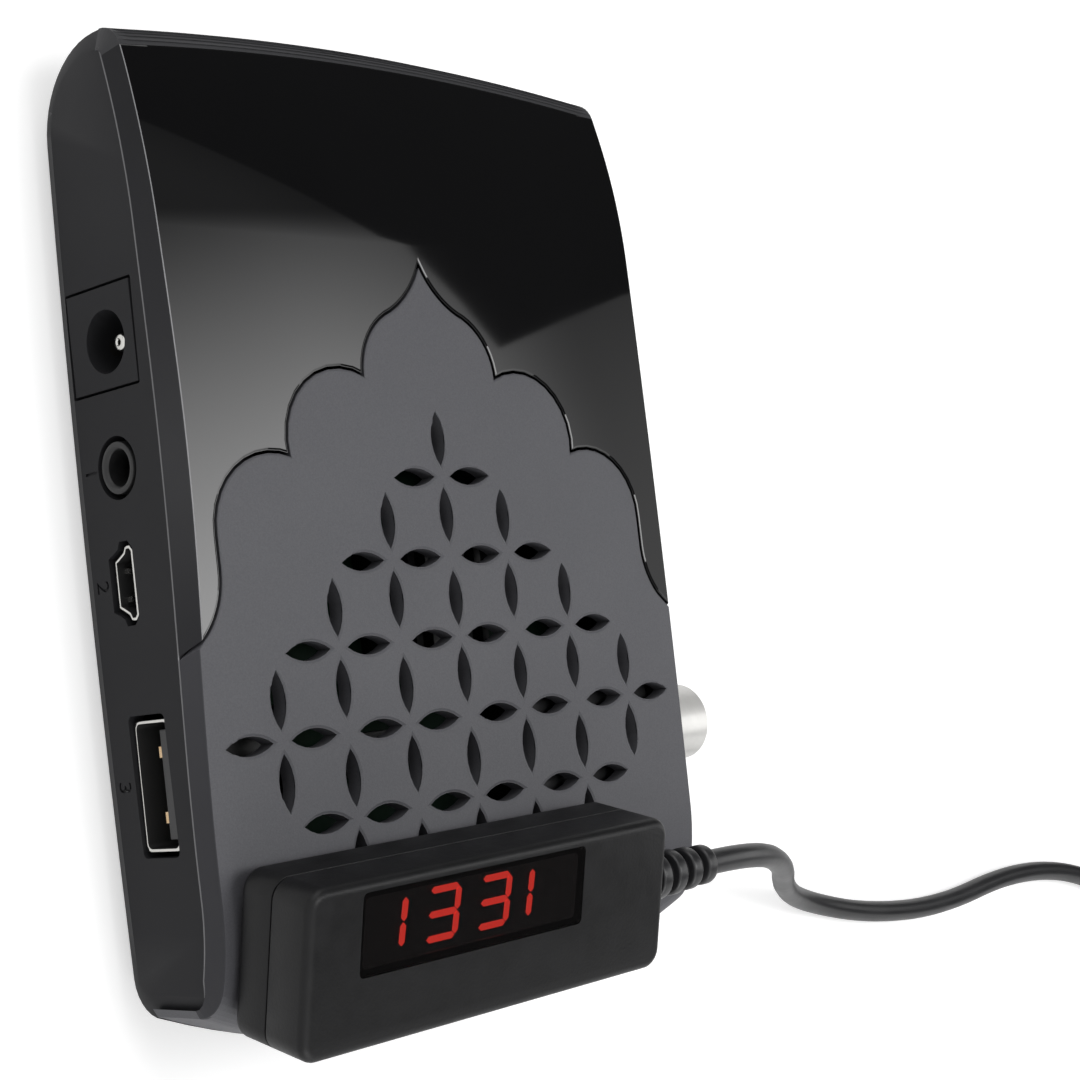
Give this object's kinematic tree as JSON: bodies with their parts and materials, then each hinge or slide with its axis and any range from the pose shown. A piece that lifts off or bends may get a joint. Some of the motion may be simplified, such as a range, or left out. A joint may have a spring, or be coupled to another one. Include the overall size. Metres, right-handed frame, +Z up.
{
  "type": "satellite tv receiver",
  "caption": "Small loaf-shaped satellite receiver box with an arch-shaped latticed cover, side ports, an aerial connector and a wired clock display unit resting on its near end.",
  "frame": {"origin": "centre of the footprint of the receiver with its display unit, on the table under its feet; the cord and its plug are left out of this box", "axes": "+Z up from the table, +Y along the box from the display end to the gloss end, +X to the side with the aerial connector"},
  "size_m": [0.2503, 0.1312, 0.0298],
  "materials": {
    "housing_black": "fine moulded texture",
    "arch_matte": "fine grained matte",
    "gloss_black": "high gloss",
    "foot_rubber": "matte",
    "zinc_screws": "zinc plated",
    "board_green": "solder mask",
    "chip_black": "moulded epoxy",
    "sink_aluminium": "extruded, anodised",
    "can_tinplate": "tinned sheet",
    "capacitor_sleeve": "drawn can",
    "ferrite": "pressed ferrite",
    "jack_black": "moulded",
    "nickel": "nickel plated",
    "shell_steel": "nickel plated sheet",
    "tongue_plastic": "moulded",
    "contact_gold": "gold flash",
    "barrel_nickel": "turned and nickel plated",
    "insulator_white": "moulded",
    "display_black": "leather-grain texture",
    "window_dark": "smoked, satin",
    "segment_red": "lit",
    "eye_lens": "moulded lens",
    "relief_rubber": "moulded",
    "cord_sheath": "soft sheath"
  },
  "bodies": {
    "receiver": {"base_shell": "housing_black", "arch_cover": "arch_matte", "gloss_cover": "gloss_black", "rubber_feet": "foot_rubber", "case_screws": "zinc_screws", "board_screws": "zinc_screws", "circuit_board": "board_green", "main_chip": "chip_black", "heat_sink": "sink_aluminium", "memory_chips": "chip_black", "capacitors": "capacitor_sleeve", "inductors": "ferrite", "crystal": "nickel", "tuner_can": "can_tinplate", "tuner_lid": "can_tinplate", "dc_jack_housing": "jack_black", "dc_jack_pin": "nickel", "dc_jack_spring": "nickel", "av_jack_body": "jack_black", "av_jack_contacts": "nickel", "mini_port_shell": "shell_steel", "mini_port_tongue": "tongue_plastic", "type_a_port_shell": "shell_steel", "type_a_port_tongue": "tongue_plastic", "type_a_port_contacts": "contact_gold", "f_connector_barrel": "barrel_nickel", "f_connector_insulator": "insulator_white", "f_connector_contact": "contact_gold", "video_socket_shell": "shell_steel", "video_socket_tongue": "tongue_plastic"},
    "display": {"display_front_shell": "display_black", "display_rear_shell": "display_black", "display_window": "window_dark", "display_board": "board_green", "digit_module": "chip_black", "lit_segments": "segment_red", "infrared_eye": "eye_lens", "strain_relief": "relief_rubber", "cord_tube": "cord_sheath", "cord_coil": "cord_sheath", "plug_body": "relief_rubber", "plug_shell": "shell_steel"}
  },
  "joints": [
    {"name": "display_lift", "type": "slide", "parent": "receiver", "child": "display", "axis": [0, 0, 1], "range_m": [0, 0.06]}
  ]
}
